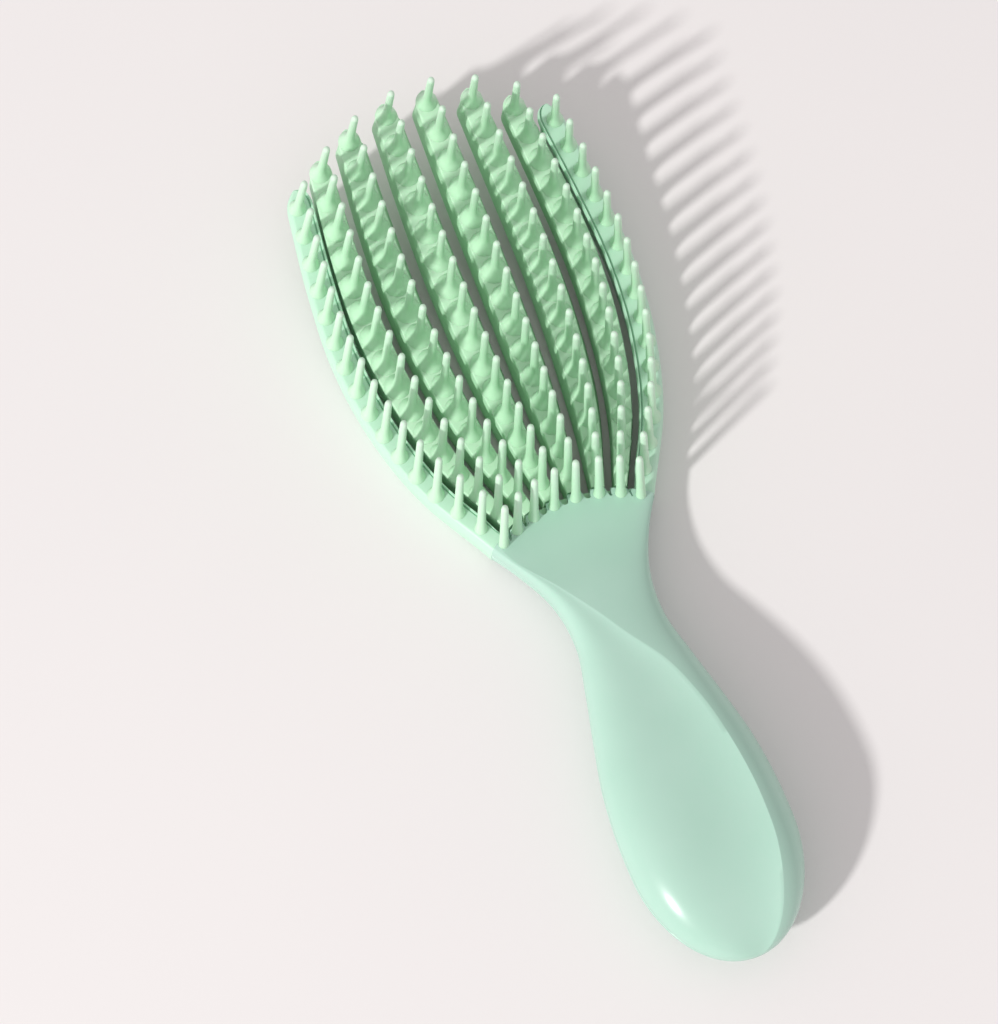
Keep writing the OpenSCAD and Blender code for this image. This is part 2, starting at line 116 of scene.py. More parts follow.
@dataclass(frozen=True)
class HeadPlan:
    """Dished pin face with its rows, ribs and rails, in millimetres."""

    face_radius: float = 320.0
    root_dip: float = 3.6
    row_length: float = 106.0
    root_bow: float = 4.9
    tip_bow: float = 14.8
    row_xs: tuple[float, ...] = (5.75, 17.3, 27.4, 36.3)
    spread_shares: tuple[float, ...] = (0.473, 0.773, 0.936, 1.0, 0.977, 0.915)
    rib_shares: tuple[float, ...] = (0.475, 0.8, 0.96, 1.0, 0.95, 0.8)
    rail_shares: tuple[float, ...] = (0.475, 0.78, 0.9, 1.0, 1.0, 0.9)
    crowding_share: float = 0.11
    pins_per_row: int = 16
    edge_lean: float = 5.3
    rib_width: float = 7.6
    rib_depth: float = 7.0
    strip_thickness: float = 1.5
    rib_overhang: float = 3.0
    rib_end_round: float = 3.0
    rail_depth: float = 8.5
    rail_outer: float = 2.7
    rail_inner: float = 3.4
    rail_overhang: float = 4.4
    rail_end_round: float = 4.4
    border_ahead: float = 1.5
    rest_cut: float = 0.25
    handle_length: float = 114.0
    strip_step: float = 0.3
    slope_step: float = 0.5
    slant_rounds: int = 5

    @property
    def edge(self) -> int:
        """Number of the outermost row, which stands on the rail."""
        return len(self.row_xs) - 1

    @property
    def root_reach(self) -> float:
        """Sideways distance of the edge rows at their roots."""
        return self.row_xs[-1] * self.spread_shares[0]

    @property
    def pin_pitch(self) -> float:
        """Distance between the pins of a row."""
        return self.row_length / (self.pins_per_row - 1)

    @property
    def root_top(self) -> float:
        """Height of the pin face at the root pins."""
        return self.face_point(0)[1]

    @property
    def middle_y(self) -> float:
        """Middle of the whole brush, which lies at the frame's origin."""
        return (self.face_point(self.rib_end_u(0))[0] - self.handle_length) / 2

    def face_slope(self, u: float) -> float:
        """Slope of the face at a length u along it, in radians."""
        return u / self.face_radius - math.radians(self.root_dip)

    def face_point(self, u: float, depth: float = 0) -> tuple[float, float]:
        """Point of the face, or below it.

        Args:
            u: length along the face from the middle root pins.
            depth: distance below the face.

        Returns:
            Y and Z before the brush is centred.
        """
        dip = math.radians(self.root_dip)
        reach = self.face_radius + depth
        slope = self.face_slope(u)
        return (self.face_radius * math.sin(dip) + reach * math.sin(slope),
                self.face_radius + self.rail_depth - self.rest_cut - reach * math.cos(slope))

    def placed(self, x: float, y: float, z: float) -> Vector:
        """A point in millimetres, as metres in the shared frame."""
        return Vector((x, y - self.middle_y, z)) * MM

    def on_head(self, x: float, u: float, depth: float) -> Vector:
        """A point of the head straight below the face at a length u, never under the floor."""
        y, z = self.face_point(u)
        drop = depth / math.cos(self.face_slope(u))
        return self.placed(x, y, max(z - drop, 0.0))

    def ring(self, side: Side, row: int, u: float, fade: float, outline: Section,
             half: Callable[[float, float], float]) -> Ring:
        """One ring of a rib or rail, slanted along the bowed border of the throat near its root.

        Args:
            side: side of the brush.
            row: row, counted from the middle.
            u: length of the ring at the middle of the row.
            fade: share of the slant that is left there.
            outline: distances outwards from the row, and depths.
            half: width of the piece at a length, on the side of the row that a distance is on.

        Returns:
            The ring's points.
        """
        centre = self.row_x(row, self.u_share(row, u))
        ring = []
        for across, depth in outline:
            x, length = centre + across, u
            for _ in range(self.slant_rounds if fade > 0 else 0):
                length = u + (self.root_u(x) - self.root_u(centre)) * fade
                x = (self.row_x(row, self.u_share(row, length))
                     + across * half(length, across) / max(half(u, across), TINY))
            ring.append(self.on_head(side.value * x, length, depth))
        return ring

    def root_u(self, x: float) -> float:
        """Length at which the root pin of a row at x stands."""
        return -self.root_bow * (x / self.root_reach) ** 2

    def tip_u(self, row: int) -> float:
        """Length at which the tip pin of a row stands."""
        return self.row_length - self.tip_bow * (self.row_xs[row] / self.row_xs[-1]) ** 2

    def first_u(self, row: int) -> float:
        """Length at which the root pin of a row stands."""
        return self.root_u(self.row_xs[row] * self.spread_shares[0])

    def row_u(self, row: int, t: float) -> float:
        """Length at a share t of a row."""
        return self.first_u(row) + (self.tip_u(row) - self.first_u(row)) * t

    def u_share(self, row: int, u: float) -> float:
        """Share of a row at a length u."""
        return (u - self.first_u(row)) / (self.tip_u(row) - self.first_u(row))

    @staticmethod
    def row_curve(shares: Sequence[float], t: float) -> float:
        """Value of a row's table at a share t."""
        return curve_at(shares, t * (len(shares) - 1))

    def row_x(self, row: int, t: float) -> float:
        """Sideways place of a row at a share t."""
        return self.row_xs[row] * self.row_curve(self.spread_shares, t)

    def pin_share(self, i: int) -> float:
        """Share of a row at which pin i stands; the pins crowd a little at the root."""
        t = i / (self.pins_per_row - 1)
        return t - self.crowding_share * t * (1 - t)

    def rib_end_u(self, row: int) -> float:
        """Length at which a rib ends."""
        return self.tip_u(row) + self.rib_overhang

    @property
    def rail_end_u(self) -> float:
        """Length at which a rail ends."""
        return self.tip_u(self.edge) + self.rail_overhang

    def slot_place(self, row: int) -> tuple[float, float]:
        """Middle and half width of the slot inside a row, at the throat.

        Args:
            row: row on the outer side of the slot; row 0 has the middle slot inside it.

        Returns:
            Sideways place of the slot's middle and its half width.
        """
        root = self.first_u(row)
        outside = self.row_x(row, 0) - (self.inner_half(root) if row == self.edge else self.rib_half(row, root))
        if row == 0:
            return 0.0, outside
        inside = self.row_x(row - 1, 0) + self.rib_half(row - 1, self.first_u(row - 1))
        return (outside + inside) / 2, (outside - inside) / 2

    @staticmethod
    def rounding(u: float, end_u: float, length: float) -> float:
        """Narrowing of a strip to its rounded end."""
        past = (u - end_u + length) / length
        return 1.0 if past <= 0 else math.sqrt(max(1 - past * past, 0))

    def rib_half(self, row: int, u: float) -> float:
        """Half width of a rib."""
        return (self.rib_width / 2 * self.row_curve(self.rib_shares, self.u_share(row, u))
                * self.rounding(u, self.rib_end_u(row), self.rib_end_round))

    def rail_slope(self, u: float) -> float:
        """Sideways slope of the edge row."""
        ahead, behind = (self.row_x(self.edge, self.u_share(self.edge, u + step))
                         for step in (self.slope_step, -self.slope_step))
        return (ahead - behind) / (2 * self.slope_step)

    def outer_half(self, u: float) -> float:
        """Width of a rail outside its pins."""
        return (self.rail_outer * math.sqrt(1 + self.rail_slope(u) ** 2)
                * self.rounding(u, self.rail_end_u, self.rail_end_round))

    def inner_half(self, u: float) -> float:
        """Width of a rail inside its pins."""
        return (self.rail_inner * self.row_curve(self.rail_shares, self.u_share(self.edge, u))
                * self.rounding(u, self.rail_end_u, self.rail_end_round))


# Plan of the handle


@dataclass(frozen=True)
class HandlePlan:
    """Outer form of the handle: stations along it and sections across it, in millimetres."""

    head: HeadPlan
    throat_length: float = 34.0
    width: float = 38.5
    thickness: float = 22.0
    end_length: float = 26.0
    dish_depth: float = 2.0
    wall: float = 1.8
    throat_steps: int = 3
    grip_steps: int = 7
    shoulder_shares: tuple[float, ...] = (1.21, 0.85) + (0.0,) * 9
    width_shares: tuple[float, ...] = (0, 0, 0.627, 0.565, 0.68, 0.82, 0.945, 1, 1, 0.99, 0.99)
    throat_shares: tuple[float, ...] = (1, 1, 0.45) + (0.0,) * 8
    top_shares: tuple[float, ...] = (0, 0.075, 0.44, 0.735, 0.83, 0.91, 0.965, 0.99, 1, 0.98, 0.93)
    under_shares: tuple[float, ...] = (0, 0.03, 0.08, 0.105, 0.09, 0.055, 0.02, 0, 0, 0.02, 0.07)
    parting_shares: tuple[float, ...] = (0, 0.06, 0.27, 0.44, 0.475, 0.49, 0.5, 0.5, 0.5, 0.49, 0.465)
    parting_throat_share: float = 0.6
    crease_shares: tuple[float, ...] = (-0.92, -0.93, -0.66, -0.12, 0.42, 0.6, 0.64, 0.66, 0.65, 0.63, 0.62)
    fullness_shares: tuple[float, ...] = (1, 0.8, 0.55, 0.44, 0.38, 0.35) + (0.33,) * 5
    rear_fullness_shares: tuple[float, ...] = (0.68, 0.55, 0.36, 0.34) + (0.33,) * 7
    crease_fall_shares: tuple[float, ...] = (0, 0.05, 0.15, 0.3, 0.42, 0.48) + (0.5,) * 5
    roll_power: float = 3.4
    fullest_power: float = 7.0
    dish_width_share: float = 0.06
    bow_fade: float = 24.0
    parting_gap: float = 0.1
    slot_reach: float = 2.3
    slot_fade: float = 6.5
    slot_power: float = 3.0
    bow_rounds: int = 6

    @property
    def mouth_y(self) -> float:
        """Y of the border between throat and ribs on the middle line."""
        return self.head.face_point(self.head.border_ahead)[0]

    def bow_at(self, base: float, x: float) -> float:
        """Y of a ring at x, bowed along the border of the throat."""
        return base + self.head.root_u(x) * faded(self.mouth_y - base, self.bow_fade)

    def half_at(self, base: float) -> float:
        """Half width of a bowed ring at its flanks."""
        half = self.half_width(base)
        for _ in range(self.bow_rounds):
            half = self.half_width(self.bow_at(base, half))
        return half

    def slot_end(self, x: float) -> float:
        """How far the slot between two ribs runs back into the throat at x."""
        for row in range(self.head.edge + 1):
            centre, half = self.head.slot_place(row)
            off = abs(abs(x) - centre) / half
            if off < 1:
                return self.slot_reach * (1 - off ** self.slot_power) ** (1 / self.slot_power)
        return 0.0

    def station(self, y: float) -> float:
        """Place along the handle, counted in steps of its tables."""
        if -y < self.throat_length:
            return -y / self.throat_length * self.throat_steps
        grip = self.head.handle_length - self.throat_length
        return self.throat_steps + (-y - self.throat_length) / grip * self.grip_steps

    def at(self, shares: Sequence[float], y: float) -> float:
        """Share of a table at a place along the handle."""
        return curve_at(shares, self.station(y))

    def half_width(self, y: float) -> float:
        """Half width of the handle."""
        shoulder = self.head.root_reach + self.head.rail_outer
        return shoulder * self.at(self.shoulder_shares, y) + self.width / 2 * self.at(self.width_shares, y)

    def top_z(self, y: float) -> float:
        """Height of the crease."""
        return (self.head.root_top * self.at(self.throat_shares, y)
                + self.thickness * self.at(self.top_shares, y))

    def under_z(self, y: float) -> float:
        """Height of the underside."""
        base = self.head.root_top - self.head.rail_depth
        return (base * self.at(self.throat_shares, y) + self.thickness * self.at(self.under_shares, y)
                - self.head.rest_cut)

    def parting_z(self, y: float) -> float:
        """Height of the line where the shells meet."""
        return (self.head.root_top * self.parting_throat_share * self.at(self.throat_shares, y)
                + self.thickness * self.at(self.parting_shares, y))

    def crease(self, y: float) -> float:
        """Place of the crease across the handle, as a share of the half width."""
        return self.at(self.crease_shares, y)

    def rear_fullness(self, y: float) -> float:
        """How boxy the section of the back is: the power of its rounded corners."""
        return self.fullest_power * self.at(self.rear_fullness_shares, y)

    def band_share(self, y: float, w: float) -> float:
        """Height of the band between the crease and the right flank, as a share.

        Args:
            y: place along the handle.
            w: share of the way from the crease to the flank.

        Returns:
            The share of the height above the parting line.
        """
        power = self.fullest_power * self.at(self.fullness_shares, y)
        start = max(self.at(self.crease_fall_shares, y), 0)
        t = min(start + (1 - start) * w, 1)
        return ((1 - t ** power) / (1 - start ** power)) ** (1 / power)

    def front_z(self, y: float, across: float) -> float:
        """Height of the front at a share across it."""
        crease = self.crease(y)
        if across > crease:
            share = self.band_share(y, (across - crease) / (1 - crease))
        else:
            share = self.dish_share(y, (crease - across) / (1 + crease))
        return self.parting_z(y) + share * (self.top_z(y) - self.parting_z(y))

    def rear_z(self, y: float, across: float) -> float:
        """Height of the back at a share across it."""
        power = self.rear_fullness(y)
        share = max(1 - abs(across) ** power, 0) ** (1 / power)
        return self.parting_z(y) + share * (self.under_z(y) - self.parting_z(y))

    def dish_share(self, y: float, w: float) -> float:
        """Height of the dish, which rolls off to the left flank, as a share.

        Args:
            y: place along the handle.
            w: share of the way from the crease to the flank.

        Returns:
            The share of the height above the parting line.
        """
        run = (self.crease(y) + 1) * self.half_width(y)
        depth = min(self.dish_depth, run * self.dish_width_share) / (self.top_z(y) - self.parting_z(y))
        # 27/4 w (1 - w)^2 has its peak of 1 at a third of the way
        return math.sqrt(1 - min(w, 1) ** self.roll_power) - depth * 27 / 4 * w * (1 - w) ** 2


@dataclass(frozen=True)
class SectionSteps:
    """How finely the sections of the shells are divided: back, band beside the crease, and dish."""

    rear_flank: int = 10
    rear_flat: int = 20
    band: int = 24
    even_band: int = 150
    dish: int = 40
    rear_crowding: float = 1.5


# Meshes


def placed_object(name: str, data: bpy.types.ID) -> bpy.types.Object:
    """Makes an object at the origin of the scene."""
    made = bpy.data.objects.new(name, data)
    bpy.context.scene.collection.objects.link(made)
    return made


def solid(name: str, points: Sequence[Vector], faces: Sequence[Sequence[int]]) -> bpy.types.Object:
    """Makes a closed piece from points and faces, with its faces turned outwards.

    Args:
        name: name of the piece.
        points: its vertices, in metres.
        faces: its faces, as vertex numbers.

    Returns:
        The new object, which lies at the origin.
    """
    mesh = bpy.data.meshes.new(name)
    mesh.from_pydata([tuple(p) for p in points], [], [tuple(f) for f in faces])
    shape = bmesh.new()
    shape.from_mesh(mesh)
    bmesh.ops.remove_doubles(shape, verts=shape.verts, dist=MERGE_GAP)
    bmesh.ops.dissolve_degenerate(shape, edges=shape.edges, dist=SLIVER)
    bmesh.ops.recalc_face_normals(shape, faces=shape.faces)
    for face in shape.faces:
        face.smooth = True
    shape.to_mesh(mesh)
    shape.free()
    mesh.set_sharp_from_angle(angle=math.radians(SHARP_DEGREES))
    return placed_object(name, mesh)


def lofted(rings: Sequence[Ring]) -> Form:
    """Points and faces of a solid through closed rings, with flat ends.

    Args:
        rings: closed rings, each with the same number of points.

    Returns:
        The points and the faces.
    """
    n = len(rings[0])
    points = [p for ring in rings for p in ring]
    faces = [[r * n + j, r * n + (j + 1) % n, (r + 1) * n + (j + 1) % n, (r + 1) * n + j]
             for r in range(len(rings) - 1) for j in range(n)]
    last = (len(rings) - 1) * n
    faces.append(list(range(n))[::-1])
    faces.append([last + j for j in range(n)])
    return points, faces


def joined(parts: Sequence[Form]) -> Form:
    """Puts several closed forms of one moulding into one list of points and one of faces."""
    points: list[Vector] = []
    faces: list[list[int]] = []
    for more_points, more_faces in parts:
        start = len(points)
        points += more_points
        faces += [[start + k for k in face] for face in more_faces]
    return points, faces


def crowded(start: float, end: float, count: int, start_round: float, end_round: float) -> list[float]:
    """Places from start to end that crowd together over a rounding at either end.

    Args:
        start: first place.
        end: last place.
        count: number of even steps between the roundings.
        start_round: length of the rounding at the start.
        end_round: length of the rounding at the end.

    Returns:
        The places in order.
    """
    near = [start + start_round * share for share in NEAR_SHARES]
    far = [end - end_round * (1 - math.sin(a)) for a in quarter(FAR_STEPS)]
    middle_start, middle_end = start + start_round, end - end_round
    middle = [middle_start + (middle_end - middle_start) * k / count for k in range(count)]
    return near + middle + far


# Finishes


def linear(hex_colour: str) -> tuple[float, float, float, float]:
    """Turns an sRGB hex value into the linear colour that Blender's sockets take."""
    channels = [int(hex_colour[k:k + 2], 16) / 255 for k in (1, 3, 5)]
    return tuple(c / 12.92 if c <= 0.04045 else ((c + 0.055) / 1.055) ** 2.4 for c in channels) + (1.0,)


def add_node(tree: bpy.types.NodeTree, kind: str, settings: dict[str, object] | None = None,
             inputs: dict[str | int, object] | None = None) -> bpy.types.Node:
    """Adds a node with its settings, values and links.

    Args:
        tree: tree that gets the node.
        kind: type of the node.
        settings: attributes of the node.
        inputs: a value or another node's output socket for each input.

    Returns:
        The new node.
    """
    node = tree.nodes.new(kind)
    for name, value in (settings or {}).items():
        setattr(node, name, value)
    for name, value in (inputs or {}).items():
        if isinstance(value, bpy.types.NodeSocket):
            tree.links.new(value, node.inputs[name])
        else:
            node.inputs[name].default_value = value
    return node


def blank_material(name: str) -> tuple[bpy.types.Material, bpy.types.NodeTree]:
    """Makes a material with an empty node tree."""
    made = bpy.data.materials.new(name)
    made.use_nodes = True
    made.node_tree.nodes.clear()
    return made, made.node_tree


def noise(tree: bpy.types.NodeTree, size_mm: float, detail: float, roughness: float) -> bpy.types.NodeSocket:
    """Adds a noise in the object's own coordinates.

    Args:
        tree: tree of the material.
        size_mm: size of the noise's features.
        detail: number of its finer layers.
        roughness: strength of the finer layers.

    Returns:
        The noise, from about 0.25 to 0.75.
    """
    place = add_node(tree, "ShaderNodeTexCoord").outputs["Object"]
    return add_node(tree, "ShaderNodeTexNoise", {}, {
        "Vector": place, "Scale": 1 / (size_mm * MM), "Detail": detail, "Roughness": roughness}).outputs["Fac"]


@dataclass(frozen=True)
class MouldedPlastic:
    """Coloured polypropylene or ABS straight from a mould."""

    name: str
    tint: str
    deep_tint: str
    roughness: float
    grain_mm: float
    grain_height_mm: float
    mottle_mm: float = 24.0
    sheen_change: float = 0.015
    tip_light_tint: str | None = None
    glow_weight: float = 0.12
    glow_mm: float = 1.6

    def material(self) -> bpy.types.Material:
        """Builds the material once and returns it."""
        made = bpy.data.materials.get(self.name)
        if made:
            return made
        made, tree = blank_material(self.name)
        # Slow drifts of colour, where the melt cooled at different rates
        drift = add_node(tree, "ShaderNodeMapRange", {}, {
            "Value": noise(tree, self.mottle_mm, 2.0, 0.45), "From Min": 0.3, "From Max": 0.7})
        colour = add_node(tree, "ShaderNodeMix", {"data_type": "RGBA"}, {
            "Factor": drift.outputs["Result"], "A": linear(self.tint), "B": linear(self.deep_tint)}).outputs[2]
        if self.tip_light_tint:
            # Painted light: the thin ends of the pins are paled, standing for light that leaks through them
            rise = add_node(tree, "ShaderNodeAttribute", {"attribute_name": "rise"}).outputs["Fac"]
            paling = add_node(tree, "ShaderNodeMapRange", {"interpolation_type": "SMOOTHSTEP"}, {
                "Value": rise, "From Min": 0.35, "From Max": 1.0})
            colour = add_node(tree, "ShaderNodeMix", {"data_type": "RGBA"}, {
                "Factor": paling.outputs["Result"], "A": colour, "B": linear(self.tip_light_tint)}).outputs[2]
        # Fine spark-eroded grain of the mould
        grain = noise(tree, self.grain_mm, 3.0, 0.6)
        sheen = add_node(tree, "ShaderNodeMapRange", {}, {
            "Value": grain, "From Min": 0.25, "From Max": 0.75,
            "To Min": self.roughness - self.sheen_change, "To Max": self.roughness + self.sheen_change})
        relief = add_node(tree, "ShaderNodeBump", {}, {
            "Height": grain, "Strength": 0.15, "Distance": self.grain_height_mm * MM})
        surface = add_node(tree, "ShaderNodeBsdfPrincipled", {}, {
            "Base Color": colour, "Roughness": sheen.outputs["Result"], "IOR": 1.49,
            "Subsurface Weight": self.glow_weight, "Subsurface Radius": (0.7, 1.0, 0.85),
            "Subsurface Scale": self.glow_mm * MM, "Normal": relief.outputs["Normal"]})
        add_node(tree, "ShaderNodeOutputMaterial", {}, {"Surface": surface.outputs["BSDF"]})
        return made


# Handle: ABS from a polished mould, smooth mint green with soft highlights
HANDLE_FINISH = MouldedPlastic("mint_abs_satin_moulded", "#b2d6c7", "#acd2c2", 0.26, 0.45, 0.001)
# Ribs: tough polypropylene from an eroded mould, nearly matt; tinted a shade deeper than the strip and pins of the same
# plastic, which is painted shade for the rib walls down in the slots
RIB_FINISH = MouldedPlastic("mint_polypropylene_matt_moulded", "#b7e1bf", "#afdbb7", 0.55, 0.3, 0.008)
# Pins and their strip: the same polypropylene; towards the thin rounded tips it is painted paler, light that leaks
# through them painted into the colour
PIN_FINISH = MouldedPlastic("mint_polypropylene_pin_moulded", "#c8edcf", "#c0e8c8", 0.48, 0.3, 0.006,
                            tip_light_tint="#cfecd6", glow_weight=0.2)
# Edge rails: the same polypropylene from a smoother part of the mould; its tint, the palest of the brush, is painted
# light for the lit outer flanks
RAIL_FINISH = MouldedPlastic("mint_polypropylene_rail_moulded", "#c2ead2", "#bbe4cb", 0.42, 0.45, 0.001)


@dataclass(frozen=True)
class PaintedFloor:
    """Pale matt painted board, the plain ground of the picture."""

    name: str = "pale_board_matt_painted"
    tint: str = "#eeecec"
    deep_tint: str = "#eae8e9"
    mottle_mm: float = 140.0

    def material(self) -> bpy.types.Material:
        """Builds the floor's material."""
        made, tree = blank_material(self.name)
        colour = add_node(tree, "ShaderNodeMix", {"data_type": "RGBA"}, {
            "Factor": noise(tree, self.mottle_mm, 2.0, 0.5), "A": linear(self.tint), "B": linear(self.deep_tint)})
        surface = add_node(tree, "ShaderNodeBsdfPrincipled", {}, {
            "Base Color": colour.outputs[2], "Roughness": 0.9, "Specular IOR Level": 0.2})
        add_node(tree, "ShaderNodeOutputMaterial", {}, {"Surface": surface.outputs["BSDF"]})
        return made


def dressed(piece: bpy.types.Object, finish: MouldedPlastic, body: str, slot: str, *nodes: str) -> None:
    """Gives a piece its finish and fixes it to the frame.

    Args:
        piece: the piece, at the origin.
        finish: its finish.
        body: CAD body that it rides on.
        slot: material slot of the record; not used.
        nodes: CAD nodes that it stands for.
    """
    piece.data.materials.clear()
    piece.data.materials.append(finish.material())
    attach(piece, body)
    if nodes:
        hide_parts(*nodes)
    LOG.info("%s: %d faces on %s", piece.name, len(piece.data.polygons), body)


# Pins


@dataclass
class PinMaker:
    """Moulded pins with flared feet and domed tips, grown on points by one node tree."""

    height: float = 20.6
    radius: float = 1.05
    tip_radius: float = 0.85
    flare_height: float = 5.0
    flare_power: float = 2.3
    sink: float = 0.4
    sides: int = 14
    rings: int = 14
    tree: bpy.types.NodeTree | None = field(default=None, init=False)

    def sizes(self) -> dict[str, float]:
        """Named inputs of the tree, in metres."""
        return {"Pin Height": self.height * MM, "Pin Radius": self.radius * MM,
                "Tip Radius": self.tip_radius * MM, "Flare Height": self.flare_height * MM,
                "Flare Power": self.flare_power, "Sink": self.sink * MM}

    def build_tree(self) -> bpy.types.NodeTree:
        """Builds the node tree that turns points with a foot and a turn into pins."""
        tree = bpy.data.node_groups.new("moulded_pins", "GeometryNodeTree")
        tree.interface.new_socket("Geometry", in_out="INPUT", socket_type="NodeSocketGeometry")
        for name in self.sizes():
            tree.interface.new_socket(name, in_out="INPUT", socket_type="NodeSocketFloat")
        for name in ("Sides", "Rings"):
            tree.interface.new_socket(name, in_out="INPUT", socket_type="NodeSocketInt")
        tree.interface.new_socket("Material", in_out="INPUT", socket_type="NodeSocketMaterial")
        tree.interface.new_socket("Geometry", in_out="OUTPUT", socket_type="NodeSocketGeometry")
        given = add_node(tree, "NodeGroupInput").outputs

        def maths(operation: str, first: object, second: object = 0.0,
                  clamp: bool = False) -> bpy.types.NodeSocket:
            """Output of one Math node, clamped to 0 to 1 if asked."""
            return add_node(tree, "ShaderNodeMath", {"operation": operation, "use_clamp": clamp},
                            {0: first, 1: second}).outputs[0]

        # A straight core whose points crowd together at the foot and at the tip
        line = add_node(tree, "GeometryNodeCurvePrimitiveLine")
        stations = add_node(tree, "GeometryNodeResampleCurve", {}, {
            "Curve": line.outputs[0], "Count": given["Rings"]})
        share = add_node(tree, "GeometryNodeSplineParameter").outputs["Factor"]
        eased = add_node(tree, "ShaderNodeMapRange", {"interpolation_type": "SMOOTHSTEP"}, {
            "Value": share, "To Min": maths("MULTIPLY", given["Sink"], -1.0), "To Max": given["Pin Height"]})
        core = add_node(tree, "GeometryNodeSetPosition", {}, {
            "Geometry": stations.outputs[0],
            "Position": add_node(tree, "ShaderNodeCombineXYZ", {}, {"Z": eased.outputs["Result"]}).outputs[0]})
        turn = add_node(tree, "GeometryNodeInputNamedAttribute", {"data_type": "FLOAT_VECTOR"}, {"Name": "turn"})
        cores = add_node(tree, "GeometryNodeInstanceOnPoints", {}, {
            "Points": given["Geometry"], "Instance": core.outputs[0],
            "Rotation": add_node(tree, "FunctionNodeEulerToRotation", {}, {0: turn.outputs[0]}).outputs[0]})
        grown = add_node(tree, "GeometryNodeRealizeInstances", {}, {0: cores.outputs[0]})

        # Radius by height: flared foot, tapered shaft, domed tip
        height = maths("SUBTRACT", add_node(tree, "GeometryNodeSplineParameter").outputs["Length"], given["Sink"])
        foot = add_node(tree, "GeometryNodeInputNamedAttribute", {"data_type": "FLOAT"}, {"Name": "foot"})
        left_over = maths("SUBTRACT", 1.0, maths("DIVIDE", maths("MAXIMUM", height, 0.0), given["Flare Height"]), True)
        flare = maths("MULTIPLY", maths("SUBTRACT", foot.outputs[0], given["Pin Radius"]),
                      maths("POWER", left_over, given["Flare Power"]))
        dome_start = maths("SUBTRACT", given["Pin Height"], given["Tip Radius"])
        taper = add_node(tree, "ShaderNodeMapRange", {}, {
            "Value": height, "From Min": given["Flare Height"], "From Max": dome_start,
            "To Min": given["Pin Radius"], "To Max": given["Tip Radius"]})
        past = maths("DIVIDE", maths("MAXIMUM", maths("SUBTRACT", height, dome_start), 0.0), given["Tip Radius"])
        dome = maths("SQRT", maths("SUBTRACT", 1.0, maths("MULTIPLY", past, past), True))
        radius = maths("MULTIPLY", maths("ADD", taper.outputs["Result"], flare), dome)
        marked = add_node(tree, "GeometryNodeStoreNamedAttribute", {"data_type": "FLOAT", "domain": "POINT"}, {
            "Geometry": grown.outputs[0], "Name": "rise",
            "Value": maths("DIVIDE", height, given["Pin Height"], True)})
        circle = add_node(tree, "GeometryNodeCurvePrimitiveCircle", {}, {"Resolution": given["Sides"], "Radius": 1.0})
        skins = add_node(tree, "GeometryNodeCurveToMesh", {}, {
            "Curve": marked.outputs[0], "Profile Curve": circle.outputs[0], "Scale": radius, "Fill Caps": True})
        closed = add_node(tree, "GeometryNodeMergeByDistance", {}, {
            "Geometry": skins.outputs[0], "Distance": PIN_MERGE_GAP})
        smooth = add_node(tree, "GeometryNodeSetShadeSmooth", {}, {0: closed.outputs[0]})
        whole = add_node(tree, "GeometryNodeRealizeInstances", {}, {0: smooth.outputs[0]})
        finished = add_node(tree, "GeometryNodeSetMaterial", {}, {
            "Geometry": whole.outputs[0], "Material": given["Material"]})
        add_node(tree, "NodeGroupOutput", {}, {0: finished.outputs[0]})
        return tree

    def grow(self, name: str, pins: Sequence[Pin], finish: MouldedPlastic) -> bpy.types.Object:
        """Grows pins into one plain mesh.

        Args:
            name: name of the piece.
            pins: place, turn and foot radius of each pin, in metres and radians.
            finish: finish of the pins.

        Returns:
            The piece, without a modifier.
        """
        if self.tree is None:
            self.tree = self.build_tree()
        seeds = bpy.data.meshes.new(name + "_seeds")
        seeds.from_pydata([tuple(place) for place, _, _ in pins], [], [])
        seeds.attributes.new("turn", "FLOAT_VECTOR", "POINT")
        seeds.attributes.new("foot", "FLOAT", "POINT")
        for k, (_, turn, foot) in enumerate(pins):
            seeds.attributes["turn"].data[k].vector = turn
            seeds.attributes["foot"].data[k].value = foot
        grower = placed_object(name + "_grower", seeds)
        modifier = grower.modifiers.new("pins", "NODES")
        modifier.node_group = self.tree
        values = {**self.sizes(), "Sides": self.sides, "Rings": self.rings, "Material": finish.material()}
        for item in self.tree.interface.items_tree:
            if item.in_out == "INPUT" and item.name in values:
                modifier[item.identifier] = values[item.name]
        ready = grower.evaluated_get(bpy.context.evaluated_depsgraph_get())
        mesh = bpy.data.meshes.new_from_object(ready)
        mesh.name = name
        bpy.data.objects.remove(grower)
        return placed_object(name, mesh)


@dataclass(frozen=True)
class PinRows:
    """Where the pins of each row stand, which way they lean and how wide their feet are."""

    head: HeadPlan
    foot_margin: float = 0.35
    foot_pitch_share: float = 0.52
    rail_foot: float = 2.2

    def pins(self, row: int, side: Side, first: int, last: int) -> list[Pin]:
        """Pins of one row.

        Args:
            row: row, counted from the middle.
            side: side of the brush.
            first: first pin, counted from the root.
            last: last pin.

        Returns:
            Place, turn and foot radius of each pin, in metres and radians.
        """
        found = []
        for i in range(first, last + 1):
            t = self.head.pin_share(i)
            u, x = self.head.row_u(row, t), self.head.row_x(row, t)
            if row == self.head.edge:
                half = min(self.head.inner_half(u), self.rail_foot + self.foot_margin)
            else:
                half = self.head.rib_half(row, u)
            foot = max(min(half - self.foot_margin, self.head.pin_pitch * self.foot_pitch_share), LEAST_FOOT)
            lean = -math.radians(self.head.edge_lean) * x / self.head.row_xs[-1]
            found.append((self.head.on_head(side.value * x, u, 0),
                          Vector((self.head.face_slope(u), side.value * lean, 0)), foot * MM))
        return found


# Ribs


